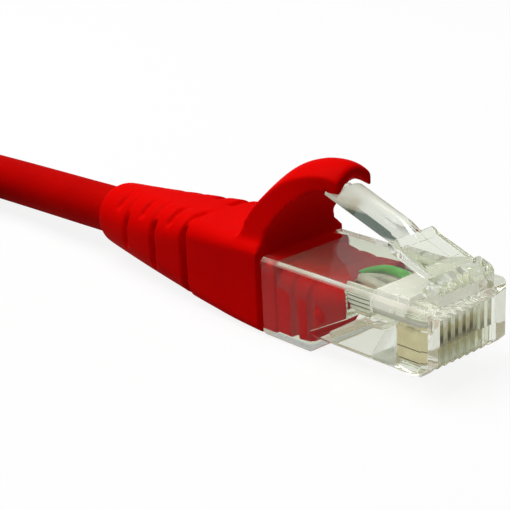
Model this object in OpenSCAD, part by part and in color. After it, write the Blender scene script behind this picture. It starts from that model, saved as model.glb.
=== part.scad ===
// Ethernet patch cable: two 8-way modular plugs with moulded snagless boots on a round cord.
// Millimetres. +X is the way plug A goes into its socket, +Z is the latch side, and
// Z = 0 is the surface that the cable lies on. The parts of an end are drawn in plug
// coordinates: X = 0 at the front face, Z = 0 on the underside of the nose.

/* [Plug housing] */
// Length of the plug housing
plug_l = 21.5; // [20:0.1:24]
// Width of the plug housing
plug_w = 11.7; // [11:0.1:13]
// Height of the front part, underside to top
nose_h = 6.6; // [6.2:0.1:7.4]
// Length of the deeper rear part
heel_l = 7.2; // [5.5:0.1:8]
// How far the rear part reaches below the nose
heel_drop = 1.7; // [1.2:0.1:2.4]
// Side wall of the housing
side_wall = 0.9; // [0.7:0.05:1.1]
// Top wall of the housing
top_wall = 0.8; // [0.6:0.05:1]
// Floor of the rear chamber
floor_wall = 0.6; // [0.4:0.05:0.8]
// Front wall between the face and the wire chamber
front_wall = 1.3; // [1:0.1:1.8]
// Bevel along the edges of the housing
housing_bevel = 0.4; // [0.2:0.05:0.6]

/* [Latch] */
// Width of the latch lever
latch_w = 3.25; // [2.8:0.05:3.6]
// Thickness of the lever at its sides
latch_t = 0.85; // [0.75:0.05:1.1]
// Length of the latch from its hinge to the end of its tail
latch_l = 15; // [14:0.1:16]
// Rise angle of the latch at rest
latch_angle = 19.3; // [17:0.1:21]
// Height of the rounded rib on the lever
rib_h = 1.05; // [0.8:0.05:1.3]
// Length of the thin tail behind the rib
tail_l = 1.7; // [1:0.1:2.4]
// Thickness of that tail
tail_t = 0.5; // [0.4:0.05:0.7]
// Width of the locking shoulders
shoulder_w = 6.1; // [5.6:0.1:6.6]
// Length of the wide part that ends in the shoulders
shoulder_l = 5.3; // [4.6:0.1:6]
// Width of the block that the latch grows out of
root_w = 7.6; // [7:0.1:8.2]
// Length of the top of that block
root_l = 1.85; // [1.4:0.05:2.4]
// Height of that block above the housing at the front face
root_h = 1.6; // [1.4:0.1:2]

/* [Contacts and wires] */
// Length of the wider room at the back end of the chamber
back_room_l = 1.9; // [1.5:0.1:2.3]
// Wall around that room
back_wall = 0.5; // [0.45:0.05:0.6]
// Spacing of the contacts
contact_pitch = 1.02; // [0.98:0.01:1.06]
// Thickness of a contact blade
contact_t = 0.35; // [0.25:0.01:0.4]
// Length of a contact blade along the plug
contact_l = 2.9; // [2.6:0.1:3.2]
// Distance from the front face to the blades
contact_setback = 1.7; // [1.4:0.1:1.9]
// How far the blades' lower edge lies above the underside
contact_recess = 0.6; // [0.4:0.05:0.8]
// Diameter of an insulated wire
wire_d = 0.94; // [0.85:0.01:0.96]
// Height of the row of wires above the underside
wire_z = 4.5; // [4.4:0.05:4.6]
// Length of the guide that spaces the wires
guide_l = 5.5; // [5:0.1:6]
// Height of that guide
guide_h = 1.9; // [1.7:0.05:2.1]

/* [Boot] */
// Length of the boot behind the plug
boot_l = 30.4; // [28:0.1:34]
// Width of the boot where it meets the plug
boot_w = 12.2; // [12:0.1:13]
// Height of the boot's top over the nose underside, where it meets the plug
boot_top = 7.7; // [7.2:0.1:8.2]
// Radius of the boot at its narrow tail
boot_tail_r = 3.75; // [3.6:0.05:4.2]
// Height of the cord's centre over the nose underside
cord_axis = 3.1; // [2.9:0.05:3.3]
// Length of cord held inside the boot
cord_grip = 12; // [8:1:14]
// Width of a flex slot in the boot's side
slot_w = 0.9; // [0.5:0.1:1.2]
// Distance from the plug to the first flex slot
slot_first = 12.3; // [11:0.1:13.5]
// Spacing of the flex slots
slot_pitch = 5.9; // [5:0.1:6.4]
// Thickness left between a flex slot and the cord
slot_wall = 1; // [0.6:0.1:1.4]

/* [Hood] */
// Width of the hood at its foot
hood_foot_w = 10.6; // [9.8:0.1:11]
// Width of the hood at its tip
hood_tip_w = 4.6; // [4.4:0.1:5.2]
// Rise of the hood's crown over its side edges
hood_crown = 1.2; // [0.9:0.1:1.4]
// Radius of the notch under the tip that straddles the latch
notch_r = 1.9; // [1.8:0.05:2]
// Length of that notch
notch_l = 2.4; // [1.8:0.1:2.8]

/* [Cord] */
// Outer diameter of the cord
cord_d = 5.6; // [5.2:0.1:5.8]
// Middle radius of the tied coil
coil_r = 32.5; // [31:0.5:34]
// Thickness of the strap that ties the coil
tie_t = 0.8; // [0.6:0.1:1]
// Width of that strap
tie_w = 12; // [8:1:16]

/* [Hidden] */
ways = 8;
ends = ["a", "b"];
fit = 0.05;          // clearance between a piece and its seat
hinge_gap = 0.15;    // clearance at the hinge lines of the latch and the hood
cut = 1;             // how far a cut runs past a face
fine = 48;           // facets of a round that OpenSCAD draws
clear = [0.80, 0.86, 0.80, 0.45];
red = [0.85, 0.03, 0.02];
gold = [0.85, 0.72, 0.42];
milky = [0.90, 0.92, 0.88, 0.6];
strap = [0.10, 0.10, 0.11];
wire_colours = ["white", "orange", "white", "royalblue", "white", "green", "white", "sienna"];

// Housing and its chamber
half_w = plug_w / 2;
heel_front = heel_l - plug_l;
chamber_half = half_w - side_wall;
chamber_top = nose_h - top_wall;
chamber_floor = floor_wall - heel_drop;
ramp_foot = [heel_front - 1, 0.2];
ramp_top = [heel_front + 4.2, 2.9];

// Wire guide and wires
guide_front = -front_wall - fit;
guide_back = guide_front - guide_l;
guide_low = wire_z - wire_d / 2 - 0.15;
guide_half = (ways - 1) / 2 * contact_pitch + 1;
contact_back = -contact_setback - contact_l;
slot_top = guide_low + 1.3;
wire_back = ramp_top[0] - 2.4;
mould_front = ramp_top[0] - 0.4;

// Latch: it turns about the lower edge of the face where it grows out of its root
latch_top = nose_h + root_h + root_l * tan(latch_angle);
latch_pivot = [-root_l - latch_t * sin(latch_angle), latch_top - latch_t * cos(latch_angle)];
rib_end = latch_l - tail_l;
rib_r = (latch_w * latch_w / 4 + rib_h * rib_h) / (2 * rib_h);

// Boot sections: [distance behind the plug, half width, top, bottom, corner radius]
boot_half = boot_w / 2;
tail_end = boot_l - 1.4;
boot_stations = [
    [0, boot_half, boot_top, -heel_drop, 1.1],
    [4.1, boot_half - 0.1, boot_top - 0.1, 0.1 - heel_drop, 1.3],
    [7.7, boot_half - 0.25, boot_top - 0.25, 0.3 - heel_drop, 1.5],
    [11.5, boot_half - 0.5, boot_top - 0.3, 0.45 - heel_drop, 1.8],
    [13.5, boot_half - 0.6, boot_top - 0.25, 0.35 - heel_drop, 2.6],
    [19.3, boot_half - 1.1, boot_top - 0.4, 0.4 - heel_drop, 3.5],
    [24.5, boot_tail_r + 0.65, cord_axis + boot_tail_r + 0.25, cord_axis - boot_tail_r - 0.45, 3.9],
    [tail_end, boot_tail_r, cord_axis + boot_tail_r, cord_axis - boot_tail_r, boot_tail_r - 0.1],
    [boot_l, boot_tail_r - 0.45, cord_axis + boot_tail_r - 0.45, cord_axis - boot_tail_r + 0.45,
        boot_tail_r - 0.55]
];
corner_steps = 5;
slot_floor = cord_d / 2 + slot_wall;

// Hood sections: [outer x, outer z, inner x, inner z, narrowing, share of the crown]
// x runs from the plug's rear face, z from the boot's top; the narrowing is 1 at the tip
hood_foot = [[-4.1, -0.8, 0, -0.8, 0, 0.3], [-3.1, 1.3, 0.2, 0.9, 0.13, 0.5]];
hood_split = [-2.5, 2.3, 0.6, 1.7, 0.2, 0.65];
hood_claw = [
    [-1.8, 3.3, 1.1, 2.4, 0.27, 0.75],
    [0, 5.1, 2.3, 3.8, 0.43, 0.9],
    [1.9, 6.4, 3.6, 4.9, 0.6, 1],
    [4, 7.1, 5, 5.6, 0.77, 1],
    [6, 7.3, 6.3, 5.8, 0.9, 0.95],
    [7.3, 7.1, 7.3, 5.72, 0.97, 0.95],
    [7.75, 6.8, 7.75, 5.7, 1, 0.85]
];
hood_steps = 8;
hood_pivot = [hood_split[2] - plug_l, hood_split[3] + boot_top];
hood_tip = hood_claw[len(hood_claw) - 1][0] - plug_l;
notch_top = latch_top + (-root_l - hood_tip) * tan(latch_angle) + rib_h / cos(latch_angle) + 0.4;

// Places of the two ends and the coil
overall_l = plug_l + boot_l;
end_places = [[overall_l / 2, 0, heel_drop], [15, -73.4, heel_drop]];
coil_centre = [-75, -(coil_r + cord_d)];
lay_z = tie_t + cord_d / 2;

// Cord routes: from boot A back to the coil, and from the coil to boot B
route_a = [
    [-14, 0, 4.8], [-20, 0, 4.8], [-26, 0, 4.8], [-33, 0, 4.6], [-40, 0, 4.4],
    [-48, 0, 4.15], [-55, 0, 3.9], [-61, 0, 3.7]
];
route_b = [
    [-25, -73.4, 4.8], [-31, -73.4, 4.8], [-37, -73.4, 4.8], [-43, -73.4, 5.6],
    [-49, -73.4, 7.0], [-55, -73.4, 8.5], [-61, -73.4, 9.1]
];
tube_sides = 12;

// ---- Helpers ----

// Puts an end in its place: A in line with the axes, B beside the coil
module at_end(e) {
    translate(end_places[e == "a" ? 0 : 1]) children();
}

// A side profile in X and Z, drawn across the plug
module across(width) {
    rotate([90, 0, 0]) translate([0, 0, -width / 2]) linear_extrude(width) children();
}

// A block from its lower to its upper corner
module block(low, high) {
    translate(low) cube([high[0] - low[0], high[1] - low[1], high[2] - low[2]]);
}

// Skin over a row of rings that all have the same even number of points
module loft(rings) {
    n = len(rings[0]);
    last = len(rings) - 1;
    polyhedron(
        points = [for (ring = rings, p = ring) p],
        faces = concat(
            [for (i = [0:n / 2 - 2]) [n - 1 - i, n - 2 - i, i + 1, i]],
            [for (i = [0:n / 2 - 2], k = [last * n]) [k + i, k + i + 1, k + n - 2 - i, k + n - 1 - i]],
            [for (j = [0:last - 1], i = [0:n - 1])
                [j * n + i, j * n + (i + 1) % n, (j + 1) * n + (i + 1) % n]],
            [for (j = [0:last - 1], i = [0:n - 1])
                [j * n + i, (j + 1) * n + (i + 1) % n, (j + 1) * n + i]]
        )
    );
}

// ---- Plug ----

// Y position of way i, counted from the near side
function way_y(i) = (i - (ways + 1) / 2) * contact_pitch;

// Outer shape of the housing with the block at the latch root
module housing_outer() {
    b = housing_bevel;
    intersection() {
        across(plug_w) polygon([
            [-plug_l, -heel_drop], [heel_front - b, -heel_drop], [heel_front, b - heel_drop],
            [heel_front, 0], [-2 * b, 0], [0, 2 * b], [0, nose_h], [-plug_l, nose_h]
        ]);
        linear_extrude(4 * nose_h, center = true) polygon([
            [-plug_l, -half_w], [-b, -half_w], [0, b - half_w],
            [0, half_w - b], [-b, half_w], [-plug_l, half_w]
        ]);
        rotate([0, 90, 0]) linear_extrude(4 * plug_l, center = true) polygon([
            [heel_drop, b - half_w], [heel_drop - b, -half_w], [b - nose_h, -half_w],
            [-nose_h, b - half_w], [-nose_h, half_w - b], [b - nose_h, half_w],
            [heel_drop - b, half_w], [heel_drop, half_w - b]
        ]);
    }
    across(root_w) polygon([
        [latch_pivot[0], nose_h - top_wall / 2], [0, nose_h - top_wall / 2],
        [0, nose_h + root_h - b], [-b, nose_h + root_h + b * tan(latch_angle)],
        [-root_l, latch_top], latch_pivot
    ]);
}

// Room for the inner mould behind, and for the guide and the wires in front
module housing_chamber() {
    across(2 * chamber_half) polygon([
        [-plug_l - cut, chamber_floor], [ramp_foot[0], chamber_floor], ramp_foot, ramp_top,
        [ramp_top[0], chamber_top], [-plug_l - cut, chamber_top]
    ]);
    block([ramp_top[0] - cut, -guide_half - fit, guide_low - fit],
          [-front_wall, guide_half + fit, chamber_top]);
    block([-plug_l - cut, back_wall - half_w, chamber_floor],
          [back_room_l - plug_l, half_w - back_wall, nose_h - back_wall]);
}

// Pocket in the underside, behind the contacts, where the wires are pressed down
module housing_pocket() {
    across(2 * chamber_half - 1.2) polygon([
        [heel_front + 1.4, -cut], [contact_back - 3, -cut], [contact_back - 2.8, 0.1],
        [contact_back - 0.9, ramp_top[1] + 0.2], [ramp_top[0] + 1.1, ramp_top[1] + 0.2],
        [ramp_top[0] + 0.3, ramp_top[1] - 0.5], [heel_front + 1.4, 0.8]
    ]);
}

module plug_housing() {
    color(clear) difference() {
        housing_outer();
        housing_chamber();
        housing_pocket();
        for (i = [1:ways])
            block([contact_back - fit, way_y(i) - contact_t / 2 - fit, -cut],
                  [cut, way_y(i) + contact_t / 2 + fit, slot_top]);
    }
}

// Latch in its own slope: X along it, Z square to it, from the top of the hinge face
module latch() {
    color(clear) translate([-root_l, 0, latch_top]) rotate([0, latch_angle, 0]) {
        across(shoulder_w) polygon([
            [-hinge_gap, 0], [-hinge_gap, -latch_t], [0.6 - shoulder_l, 0.15 - latch_t],
            [-shoulder_l, -0.1], [-shoulder_l, 0]
        ]);
        block([-rib_end, -latch_w / 2, -latch_t], [-hinge_gap - 1, latch_w / 2, 0]);
        block([-latch_l, -latch_w / 2, -latch_t], [-rib_end, latch_w / 2, tail_t - latch_t]);
        intersection() {
            block([-rib_end, -latch_w / 2, -latch_t], [0.4 - shoulder_l, latch_w / 2, 2 * rib_h]);
            translate([0, 0, rib_h - rib_r])
                rotate([0, 90, 0]) cylinder(h = 3 * latch_l, r = rib_r, center = true, $fn = fine);
        }
    }
}

// Guide block: a bore for each wire, open below for the contact blades
module wire_guide() {
    color(milky) difference() {
        block([guide_back, -guide_half, guide_low], [guide_front, guide_half, guide_low + guide_h]);
        for (i = [1:ways]) {
            translate([guide_back - cut, way_y(i), wire_z])
                rotate([0, 90, 0]) cylinder(h = guide_l + 2 * cut, d = wire_d + 2 * fit, $fn = fine);
            block([contact_back - fit, way_y(i) - contact_t / 2 - fit, guide_low - cut],
                  [0, way_y(i) + contact_t / 2 + fit, wire_z]);
        }
    }
}

// Contact blade: flat edge below, two teeth above that bite into the wire
module contact(i) {
    low = contact_recess;
    base = guide_low - 0.4;
    tooth = wire_z - fit;
    color(gold) translate([-contact_setback, way_y(i), 0]) across(contact_t) polygon([
        [0, low + 0.4], [-0.4, low], [0.4 - contact_l, low], [-contact_l, low + 0.4],
        [-contact_l, base], [0.5 - contact_l, tooth], [1 - contact_l, base],
        [-1, base], [-0.5, tooth], [0, base]
    ]);
}

// Insulated wire, slit where the teeth of its contact go in
module wire(i) {
    color(wire_colours[i - 1]) difference() {
        translate([wire_back, way_y(i), wire_z])
            rotate([0, 90, 0]) cylinder(h = guide_front - fit - wire_back, d = wire_d, $fn = fine);
        contact(i);
    }
}

// Plan of one half of the inner moulding: two gripping grooves, then a narrower front
function mould_side(w) = [
    [-plug_l, -fit], [-plug_l, w],
    for (groove = [3.8, 5.6])
        each [[groove - plug_l, w], [groove + 0.2 - plug_l, w - 0.4],
              [groove + 0.6 - plug_l, w - 0.4], [groove + 0.8 - plug_l, w]],
    [heel_front + 0.3, w], [mould_front, w - 0.4], [mould_front, -fit]
];

// Moulding inside the housing: it grips the jacket and lets the wires out in front
module inner_mould() {
    w = chamber_half - fit;
    low = chamber_floor + fit;
    top = chamber_top - fit;
    color(red) difference() {
        union() {
            intersection() {
                across(2 * w) polygon([
                    [-plug_l, low], [ramp_foot[0] - fit, low], [ramp_foot[0] - fit, ramp_foot[1] + fit],
                    [mould_front, ramp_top[1]], [mould_front, top - 0.1], [heel_front + 1.2, top],
                    [-plug_l, top]
                ]);
                for (side = [0, 1]) mirror([0, side, 0])
                    linear_extrude(4 * nose_h, center = true) polygon(mould_side(w));
            }
            block([-plug_l, back_wall + fit - half_w, low],
                  [back_room_l - fit - plug_l, half_w - back_wall - fit, nose_h - back_wall - fit]);
        }
        block([wire_back, -guide_half + 0.3, wire_z - wire_d],
              [cut, guide_half - 0.3, wire_z + wire_d]);
    }
}

// ---- Boot and hood ----

// Rounded rectangle across the boot, as points that turn from +Y to +Z
function boot_ring(s) = [
    for (corner = [0:3], step = [0:corner_steps])
        let (
            a = (corner + step / corner_steps) * 90,
            y = (corner == 0 || corner == 3 ? 1 : -1) * (s[1] - s[4]),
            z = corner < 2 ? s[2] - s[4] : s[3] + s[4]
        )
        [-plug_l - s[0], y + s[4] * cos(a), z + s[4] * sin(a)]
];

// Arched section of the hood: over the outside and back along the inside
function hood_ring(s, lift = 0) =
    let (
        half = (hood_foot_w + (hood_tip_w - hood_foot_w) * s[4]) / 2,
        across = [s[0] - s[2], s[1] - s[3]],
        out = across / norm(across),
        shift = [-plug_l + lift * out[1], boot_top - lift * out[0]],
        outer = [s[0], s[1]] + shift,
        inner = [s[2], s[3]] + shift
    )
    concat(
        [for (k = [-hood_steps:2:hood_steps])
            let (t = k / hood_steps, p = outer + out * hood_crown * s[5] * (1 - t * t))
            [p[0], t * half, p[1]]],
        [for (k = [hood_steps:-2:-hood_steps])
            let (t = k / hood_steps, p = inner + out * hood_crown * s[5] * (1 - t * t) * 0.7)
            [p[0], t * half, p[1]]]
    );

// Channel with a round top, along X from the origin
module arch(r, length) {
    rotate([90, 0, 90]) linear_extrude(length)
        polygon(concat([for (a = [0:15:180]) [r * cos(a), r * sin(a)]], [[-r, -2 * r], [r, -2 * r]]));
}

// Strain relief with a bore for the cord, flex slots and the fixed foot of the hood
module boot() {
    color(red) difference() {
        union() {
            loft([for (s = boot_stations) boot_ring(s)]);
            loft([for (s = concat(hood_foot, [hood_split])) hood_ring(s)]);
        }
        translate([-overall_l - cut, 0, cord_axis])
            rotate([0, 90, 0]) cylinder(h = cord_grip + cut, d = cord_d + 2 * fit, $fn = fine);
        for (i = [0:2], side = [0, 1]) mirror([0, side, 0])
            translate([-plug_l - slot_first - i * slot_pitch, 0, cord_axis])
                block([-slot_w / 2, slot_floor, 0.7 * (i - 4)], [slot_w / 2, boot_w, 0.7 * (4 - i)]);
    }
}

// Claw over the end of the latch, notched so that it straddles the rib
module hood() {
    color(red) difference() {
        loft(concat([hood_ring(hood_split, hinge_gap)], [for (s = hood_claw) hood_ring(s)]));
        translate([hood_tip, 0, notch_top - notch_r]) rotate([0, latch_angle, 0])
            translate([-notch_l, 0, 0]) arch(notch_r, 2 * notch_l);
    }
}

// ---- Cord ----

// Ring of points around a route at its i-th point
function tube_ring(route, i) =
    let (
        along = route[min(i + 1, len(route) - 1)] - route[max(i - 1, 0)],
        side = cross([0, 0, 1], along),
        s = side / norm(side),
        u = cross(along, s) / norm(along)
    )
    [for (k = [0:tube_sides - 1])
        let (a = -k * 360 / tube_sides)
        route[i] + cord_d / 2 * (cos(a) * s + sin(a) * u)];

module cord_tube(route) {
    color(red) loft([for (i = [0:len(route) - 1]) tube_ring(route, i)]);
}

// Outline of the tied turns, three cords below and two in the hollows on top, grown by skin
function bundle(skin) =
    let (r = cord_d / 2 + skin, rise = cord_d * sin(60))
    concat(
        [for (a = [150:20:270]) [-cord_d + r * cos(a), r * sin(a)]],
        [for (a = [270:20:390]) [cord_d + r * cos(a), r * sin(a)]],
        [for (a = [30:20:90]) [cord_d / 2 + r * cos(a), rise + r * sin(a)]],
        [for (a = [90:20:150]) [-cord_d / 2 + r * cos(a), rise + r * sin(a)]]
    );

module cord_coil() {
    color(red) translate([coil_centre[0], coil_centre[1], lay_z])
        rotate_extrude($fn = 90) translate([coil_r, 0]) polygon(bundle(0));
}

// Strap around the turns, on the side away from the plugs
module coil_tie() {
    sweep = tie_w / coil_r * 180 / PI;
    color(strap) translate([coil_centre[0], coil_centre[1], lay_z])
        rotate([0, 0, 180 - sweep / 2]) rotate_extrude(angle = sweep, $fn = 90)
        translate([coil_r, 0]) difference() {
            polygon(bundle(tie_t));
            polygon(bundle(0));
        }
}

// ---- Output ----

for (e = ends) {
    at_end(e) plug_housing();
    at_end(e) latch();
    at_end(e) wire_guide();
    at_end(e) inner_mould();
    at_end(e) boot();
    at_end(e) hood();
    for (i = [1:ways]) {
        at_end(e) contact(i);
        at_end(e) wire(i);
    }
}
cord_tube(route_a);  // cord_tube_a
cord_tube(route_b);  // cord_tube_b
cord_coil();
coil_tie();
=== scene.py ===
import math

import bmesh
import bpy
from mathutils import Matrix, Vector


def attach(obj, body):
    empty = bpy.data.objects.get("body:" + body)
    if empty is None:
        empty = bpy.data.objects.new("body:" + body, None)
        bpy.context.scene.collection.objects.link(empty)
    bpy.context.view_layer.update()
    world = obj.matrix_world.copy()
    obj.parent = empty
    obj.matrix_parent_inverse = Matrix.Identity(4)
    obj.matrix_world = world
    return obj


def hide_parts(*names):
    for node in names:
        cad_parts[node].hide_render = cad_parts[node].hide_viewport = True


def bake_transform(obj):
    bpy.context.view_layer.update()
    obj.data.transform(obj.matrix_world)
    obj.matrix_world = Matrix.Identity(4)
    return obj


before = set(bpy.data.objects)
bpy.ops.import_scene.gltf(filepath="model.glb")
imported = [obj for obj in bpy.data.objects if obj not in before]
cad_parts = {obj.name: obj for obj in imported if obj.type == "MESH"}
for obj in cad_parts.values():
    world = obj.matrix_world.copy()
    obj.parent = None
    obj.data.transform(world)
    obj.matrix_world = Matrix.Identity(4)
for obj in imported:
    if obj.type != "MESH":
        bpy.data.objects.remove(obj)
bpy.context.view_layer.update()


# ---- Table, light and camera ----
# The cable lies on a plain pale table top, under one broad soft lamp and a dim room. The camera
# sees the room and the table as white. Clear plastic and gloss show them darker.

eye = Vector((0.09644, -0.08635, 0.05320))
looking = Vector((-0.7077, 0.6172, -0.3438)).normalized()
upward = Vector((-0.2270, 0.2621, 0.9380))
rightward = looking.cross(upward).normalized()
upward = rightward.cross(looking)
camera = bpy.data.objects.new("camera", bpy.data.cameras.new("camera"))
bpy.context.collection.objects.link(camera)
camera.matrix_world = Matrix.Translation(eye) @ Matrix(
    (rightward, upward, -looking)).transposed().to_4x4()
camera.data.lens = 94.2
camera.data.sensor_width = 36
camera.data.clip_start = 0.005
bpy.context.scene.camera = camera
bpy.context.scene.view_settings.view_transform = "Standard"
bounces = 32              # light meets many faces of the clear plastic
tracing = bpy.context.scene.cycles
tracing.max_bounces = tracing.transmission_bounces = tracing.glossy_bounces = bounces


def node(tree, kind, inputs=(), **settings):
    """Adds a node; inputs maps sockets to a value, or to the output socket that feeds them."""
    made = tree.nodes.new(kind)
    for key, value in settings.items():
        setattr(made, key, value)
    for key, value in dict(inputs).items():
        if isinstance(value, bpy.types.NodeSocket):
            tree.links.new(value, made.inputs[key])
        else:
            made.inputs[key].default_value = value
    return made


def math_node(tree, operation, *values):
    return node(tree, "ShaderNodeMath", enumerate(values), operation=operation).outputs[0]


def axes(tree, vector=None):
    """X, Y and Z of a vector, or of the place on the piece."""
    if vector is None:
        vector = node(tree, "ShaderNodeTexCoord").outputs["Object"]
    return node(tree, "ShaderNodeSeparateXYZ", {"Vector": vector}).outputs


def ramp(tree, value, start, stop, low=0.0, high=1.0, **settings):
    """Runs from low to high while the value runs from start to stop."""
    return node(tree, "ShaderNodeMapRange", {
        "Value": value, "From Min": start, "From Max": stop, "To Min": low, "To Max": high},
        **settings).outputs["Result"]


through_plastic = 0.80    # how white the surroundings look through clear plastic
light_inside = 0.38       # how much they light what is inside it


def seen_directly(tree, gloss):
    """1 for rays from the camera, a little less through clear plastic, the given share off
    gloss, and 0 for diffuse light."""
    path = node(tree, "ShaderNodeLightPath").outputs
    lighting = math_node(tree, "GREATER_THAN", path["Diffuse Depth"], 0.5)
    level = ramp(tree, lighting, 0, 1, through_plastic, light_inside)
    through = math_node(tree, "MULTIPLY", path["Is Transmission Ray"], level)
    off_gloss = math_node(tree, "MULTIPLY", path["Is Glossy Ray"], gloss)
    return math_node(tree, "MAXIMUM", path["Is Camera Ray"],
                     math_node(tree, "MAXIMUM", off_gloss, through))


room_strength = 0.08      # fill light from the room
room_low = 0.55           # what gloss and clear plastic see near the horizon
room_band = (0.02, 0.45)  # from where to where the room brightens upward
table_grey = 0.38         # paint of the table, as it lights the cable
table_pale = 1.00         # the same paint, as it is seen
table_white = 0.88        # share of the table that shows as plain white
room_in_gloss = 0.35      # how white the room looks in the gloss of things
table_in_gloss = 0.25     # how white the table looks in it

room = bpy.data.worlds.new("room")
bpy.context.scene.world = room
room.use_nodes = True
tree = room.node_tree
tree.nodes.clear()
height = axes(tree, node(tree, "ShaderNodeTexCoord").outputs["Generated"])["Z"]
band = ramp(tree, height, *room_band, room_low, 1.0, interpolation_type="SMOOTHSTEP")
level = node(tree, "ShaderNodeMix", {
    "Factor": seen_directly(tree, room_in_gloss), "A": room_strength, "B": band}).outputs["Result"]
back = node(tree, "ShaderNodeBackground", {"Color": (1, 1, 1, 1), "Strength": level})
node(tree, "ShaderNodeOutputWorld", {"Surface": back.outputs[0]})

table_paint = bpy.data.materials.new("pale_table")
table_paint.use_nodes = True
tree = table_paint.node_tree
tree.nodes.clear()
seen = seen_directly(tree, table_in_gloss)
grey = ramp(tree, seen, 0, 1, table_grey, table_pale)
paint = node(tree, "ShaderNodeBsdfDiffuse", {"Color": grey})
white = node(tree, "ShaderNodeEmission", {"Color": (1, 1, 1, 1), "Strength": 1.0})
share = math_node(tree, "MULTIPLY", seen, table_white)
both = node(tree, "ShaderNodeMixShader", {0: share, 1: paint.outputs[0], 2: white.outputs[0]})
node(tree, "ShaderNodeOutputMaterial", {"Surface": both.outputs[0]})
table_half = 1.5
table_mesh = bpy.data.meshes.new("table_top")
table_mesh.from_pydata(
    [(x * table_half, y * table_half, 0) for x, y in ((-1, -1), (1, -1), (1, 1), (-1, 1))],
    [], [(0, 1, 2, 3)])
table_mesh.materials.append(table_paint)
table = bpy.data.objects.new("table_top", table_mesh)
bpy.context.collection.objects.link(table)

lamp_size, lamp_watts = 0.5, 3.05
lamp_place = (-0.18, -0.07, 0.49)
lamp = bpy.data.objects.new("soft_lamp", bpy.data.lights.new("soft_lamp", "AREA"))
bpy.context.collection.objects.link(lamp)
lamp.data.shape = "DISK"
lamp.data.size = lamp_size
lamp.data.energy = lamp_watts
lamp.location = lamp_place
lamp.rotation_euler = (Vector((0, 0, 0)) - lamp.location).to_track_quat("-Z", "Y").to_euler()


# ---- Cord ----
# Round cord, 5.6 mm across, with a soft vinyl jacket over four twisted pairs. It runs out of
# boot A, lies in four and a half tied turns, and goes into boot B.

MM = 0.001                # sizes are in mm, the scene is in metres
cord_d = 5.6
coil_centre = (-75.0, -38.1)
tie_t = 0.8
lay_z = tie_t + cord_d / 2
# Points of the two runs between the boots and the coil. The first few lie inside the boots
route_a = [
    (-14, 0, 4.8), (-20, 0, 4.8), (-26, 0, 4.8), (-33, 0, 4.6), (-40, 0, 4.4),
    (-48, 0, 4.15), (-55, 0, 3.9), (-61, 0, 3.7)]
route_b = [
    (-25, -73.4, 4.8), (-31, -73.4, 4.8), (-37, -73.4, 4.8), (-43, -73.4, 5.6),
    (-49, -73.4, 7.0), (-55, -73.4, 8.5), (-61, -73.4, 9.1)]
turn_step = 15            # degrees between the points of a turn
clear = 0.01              # turns that lie a diameter apart, less this, don't lift each other
# Radius of the turns against the angle run through: nearly three turns below, then nearly two on top
turns = [(90, 38.1), (390, 38.1), (450, 32.5), (750, 32.5), (810, 26.9), (1040, 26.9),
         (1105, 29.7), (1340, 29.7), (1400, 35.3), (1710, 35.3)]


def turn_radius(angle):
    for (a0, r0), (a1, r1) in zip(turns, turns[1:]):
        if angle <= a1:
            t = (angle - a0) / (a1 - a0)
            return r0 + (r1 - r0) * t * t * (3 - 2 * t)
    return turns[-1][1]


def turn_height(angle):
    """Each turn lies above the table by the strap's thickness, or on the turns that it crosses."""
    z, below = lay_z, angle - 360
    while below >= turns[0][0]:
        off = abs(turn_radius(angle) - turn_radius(below))
        if off < cord_d - clear:
            z = max(z, turn_height(below) + math.sqrt(cord_d ** 2 - off ** 2))
        below -= 360
    return z


coil = []
for angle in range(turns[0][0], turns[-1][0] + 1, turn_step):
    a, r = math.radians(angle), turn_radius(angle)
    coil.append((coil_centre[0] + r * math.cos(a), coil_centre[1] + r * math.sin(a),
                 turn_height(angle)))
coil_in, coil_out = (-68, 0, 3.6), (-68, -73.4, 8.85)
centreline = route_a + [coil_in] + coil + [coil_out] + route_b[::-1]

line = bpy.data.curves.new("cord", "CURVE")
line.dimensions = "3D"
line.bevel_depth = cord_d / 2 * MM
line.bevel_resolution = 8
line.resolution_u = 6
line.use_fill_caps = True
spline = line.splines.new("BEZIER")
spline.bezier_points.add(len(centreline) - 1)
for point, spot in zip(spline.bezier_points, centreline):
    point.co = [c * MM for c in spot]
    point.handle_left_type = point.handle_right_type = "AUTO"
cord = bpy.data.objects.new("cord", line)
bpy.context.collection.objects.link(cord)


def effect(name, inputs, outputs):
    """A node group with named inputs (kind and first value) and named outputs."""
    group = bpy.data.node_groups.new(name, "ShaderNodeTree")
    for key, (kind, value) in inputs.items():
        socket = group.interface.new_socket(key, in_out="INPUT", socket_type=f"NodeSocket{kind}")
        socket.default_value = value
    for key, kind in outputs.items():
        group.interface.new_socket(key, in_out="OUTPUT", socket_type=f"NodeSocket{kind}")
    return group, node(group, "NodeGroupInput").outputs, node(group, "NodeGroupOutput").inputs


def noise_on(tree, scale, detail):
    return node(tree, "ShaderNodeTexNoise", {
        "Vector": node(tree, "ShaderNodeTexCoord").outputs["Object"], "Scale": scale,
        "Detail": detail}).outputs["Fac"]


def mixed(tree, factor, one, other):
    """One colour where the factor is 0, the other where it is 1."""
    return node(tree, "ShaderNodeMix", {"Factor": factor, "A": one, "B": other},
                data_type="RGBA").outputs["Result"]


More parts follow.
